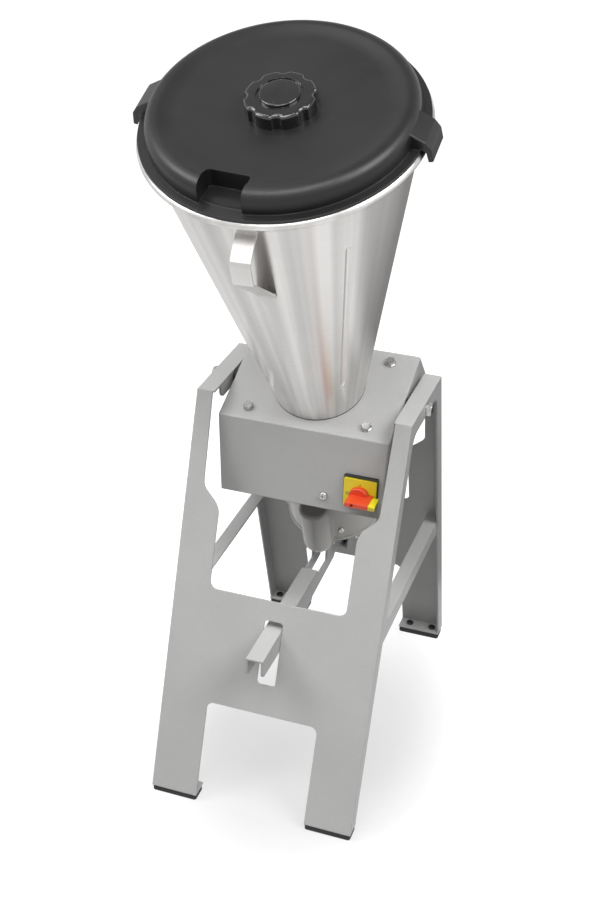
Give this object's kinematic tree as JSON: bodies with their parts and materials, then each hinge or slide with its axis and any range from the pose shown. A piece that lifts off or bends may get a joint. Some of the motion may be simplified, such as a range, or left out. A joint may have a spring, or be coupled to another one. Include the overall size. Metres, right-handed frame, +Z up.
{
  "type": "tilting blender",
  "caption": "Tall catering blender with a tapered steel jar and black lid on a motor box that tilts forward in a sheet-steel A-frame with a foot lever.",
  "frame": {"origin": "on the floor under the middle of the whole outline, in the tilted pose of the picture", "axes": "+X to the machine's right seen from the front, -Y to the front where the switch is, +Z up"},
  "size_m": [0.3744, 0.6347, 1.1075],
  "materials": {
    "frame_paint": "satin grey coat",
    "black_rubber": "matt",
    "black_steel": "black",
    "zinc_steel": "zinc plated",
    "spring_steel": "oiled",
    "box_paint": "satin grey coat",
    "nylon": "moulded",
    "motor_paint": "semi-gloss grey coat",
    "cast_alloy": "as cast",
    "winding": "enamelled copper wire",
    "capacitor_case": "drawn can",
    "jar_steel": "brushed stainless",
    "blade_steel": "ground stainless",
    "lid_black": "moulded satin",
    "knob_black": "gloss",
    "switch_black": "moulded",
    "switch_yellow": "moulded",
    "switch_red": "moulded"
  },
  "bodies": {
    "frame": {"front_frame_plate": "frame_paint", "rear_frame_plate": "frame_paint", "left_top_rail": "frame_paint", "right_top_rail": "frame_paint", "left_side_brace": "frame_paint", "right_side_brace": "frame_paint", "pedal_bracket": "frame_paint", "foot_pad_front_left": "black_rubber", "foot_pad_front_right": "black_rubber", "foot_pad_rear_left": "black_rubber", "foot_pad_rear_right": "black_rubber", "foot_screws": "black_steel", "pivot_bolts": "zinc_steel", "pivot_spacers": "zinc_steel", "pivot_nuts": "zinc_steel", "pedal_pin": "zinc_steel", "pedal_pin_clips": "zinc_steel", "bracket_bolts": "zinc_steel", "pedal_spring": "spring_steel"},
    "tilting_unit": {"motor_box": "box_paint", "trunnion_bosses": "box_paint", "pivot_bushes": "nylon", "box_top_bolts": "zinc_steel", "panel_screw": "zinc_steel", "cable_gland": "nylon", "motor_upper_flange": "cast_alloy", "motor_housing": "motor_paint", "stator_core": "black_steel", "stator_windings": "winding", "motor_lower_shield": "motor_paint", "shield_screws": "zinc_steel", "motor_bearings": "zinc_steel", "capacitor_cover": "motor_paint", "capacitor": "capacitor_case", "latch_sector": "box_paint", "sector_bolts": "zinc_steel", "jar_seat_gasket": "black_rubber", "jar_cone": "jar_steel", "jar_bottom": "jar_steel", "jar_screws": "jar_steel", "shaft_seal": "black_rubber", "handle_strap": "jar_steel", "switch_base": "switch_black", "switch_plate": "switch_yellow", "switch_body": "nylon"},
    "rotor": {"motor_shaft": "zinc_steel", "rotor_core": "zinc_steel", "cooling_fan": "nylon", "blade_hub": "blade_steel", "upper_blade": "blade_steel", "lower_blade": "blade_steel", "blade_nut": "blade_steel"},
    "pedal": {"pedal_lever": "frame_paint", "latch_pin": "zinc_steel", "lever_bumper": "black_rubber"},
    "switch_handle": {"switch_handle": "switch_red", "padlock_slide": "switch_yellow"},
    "lid": {"lid": "lid_black"},
    "filler_cap": {"filler_cap": "knob_black"}
  },
  "joints": [
    {"name": "tilt", "type": "hinge", "parent": "frame", "child": "tilting_unit", "pos_m": [0, 0.0334, 0.5796], "axis": [1, 0, 0], "range_deg": [-23.6, 66.4]},
    {"name": "rotor_spin", "type": "hinge", "parent": "tilting_unit", "child": "rotor", "pos_m": [0, 0.0334, 0.5796], "axis": [0, -0.4003, 0.9164], "continuous": true},
    {"name": "pedal_hinge", "type": "hinge", "parent": "frame", "child": "pedal", "pos_m": [0, 0.2014, 0.272], "axis": [1, 0, 0], "range_deg": [0, 7], "stiffness_Nm_per_rad": 12, "springref_deg": -17.19, "deforming": ["pedal_spring"]},
    {"name": "switch_turn", "type": "hinge", "parent": "tilting_unit", "child": "switch_handle", "pos_m": [0.0915, -0.05076, 0.4723], "axis": [0, 0.9993, -0.0365], "range_deg": [0, 90]},
    {"name": "lid_lift", "type": "slide", "parent": "tilting_unit", "child": "lid", "axis": [0, -0.4003, 0.9164], "range_m": [0, 0.06]},
    {"name": "cap_lift", "type": "slide", "parent": "lid", "child": "filler_cap", "axis": [0, -0.4003, 0.9164], "range_m": [0, 0.03]}
  ]
}
